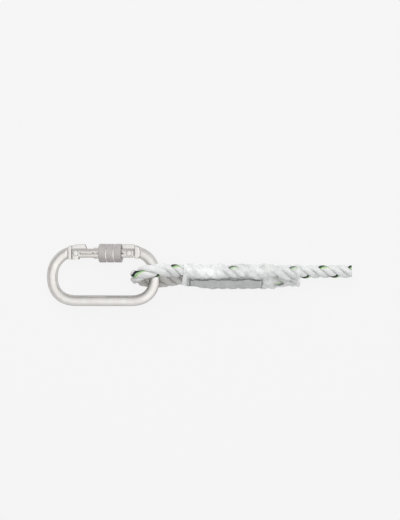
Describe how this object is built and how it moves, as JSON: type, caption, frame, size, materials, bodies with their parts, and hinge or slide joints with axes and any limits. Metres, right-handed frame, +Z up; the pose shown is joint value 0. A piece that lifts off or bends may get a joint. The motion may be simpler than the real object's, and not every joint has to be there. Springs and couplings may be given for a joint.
{
  "type": "climbing lanyard",
  "caption": "Laid rope lanyard with a spliced, film-covered eye round an oval steel screw-gate carabiner, for tree climbing.",
  "frame": {"origin": "on the floor below the middle of the lanyard as it lies", "axes": "+X along the rope from the carabiner to the cut end, +Y the side of the carabiner's gate, +Z up"},
  "size_m": [0.2905, 0.0591, 0.0384],
  "materials": {
    "bright_steel": "satin, bright",
    "matte_steel": "matte, bead blasted",
    "spring_steel": "plain drawn",
    "white_yarn": "laid polyamide yarn",
    "tracer_yarn": "laid polyamide yarn with dark and green tracer yarns",
    "clear_film": "clear, glossy, shrunk",
    "label_paper": "printed border, otherwise bare"
  },
  "bodies": {
    "rope": {"rope_strand_1": "tracer_yarn", "rope_strand_2": "white_yarn", "rope_strand_3": "white_yarn", "heat_shrink_sleeve": "clear_film", "id_label": "label_paper"},
    "carabiner": {"carabiner_body": "bright_steel"},
    "gate": {"gate": "bright_steel", "gate_hinge_rivet": "bright_steel", "latch_pin": "bright_steel", "gate_spring": "spring_steel"},
    "sleeve": {"locking_sleeve": "matte_steel"},
    "plunger": {"spring_plunger": "spring_steel"}
  },
  "joints": [
    {"name": "carabiner_swing", "type": "hinge", "parent": "rope", "child": "carabiner", "pos_m": [-0.04213, -0.0015, 0.0178], "axis": [0, 1, 0], "range_deg": [-35, 75]},
    {"name": "gate_swing", "type": "hinge", "parent": "carabiner", "child": "gate", "pos_m": [-0.06613, 0.0201, 0.01467], "axis": [-0.1293, 0, 0.9916], "range_deg": [0, 26], "stiffness_Nm_per_rad": 0.5, "springref_deg": -22.92},
    {"name": "sleeve_travel", "type": "slide", "parent": "gate", "child": "sleeve", "axis": [-0.9916, 0, -0.1293], "range_m": [0, 0.0122]},
    {"name": "plunger_travel", "type": "slide", "parent": "gate", "child": "plunger", "axis": [-0.9916, 0, -0.1293], "range_m": [0, 0.00115], "deforming": ["gate_spring"]}
  ],
  "couplings": [
    {"joint": "plunger_travel", "follows": "gate_swing", "m_per_rad": 0.0025}
  ]
}
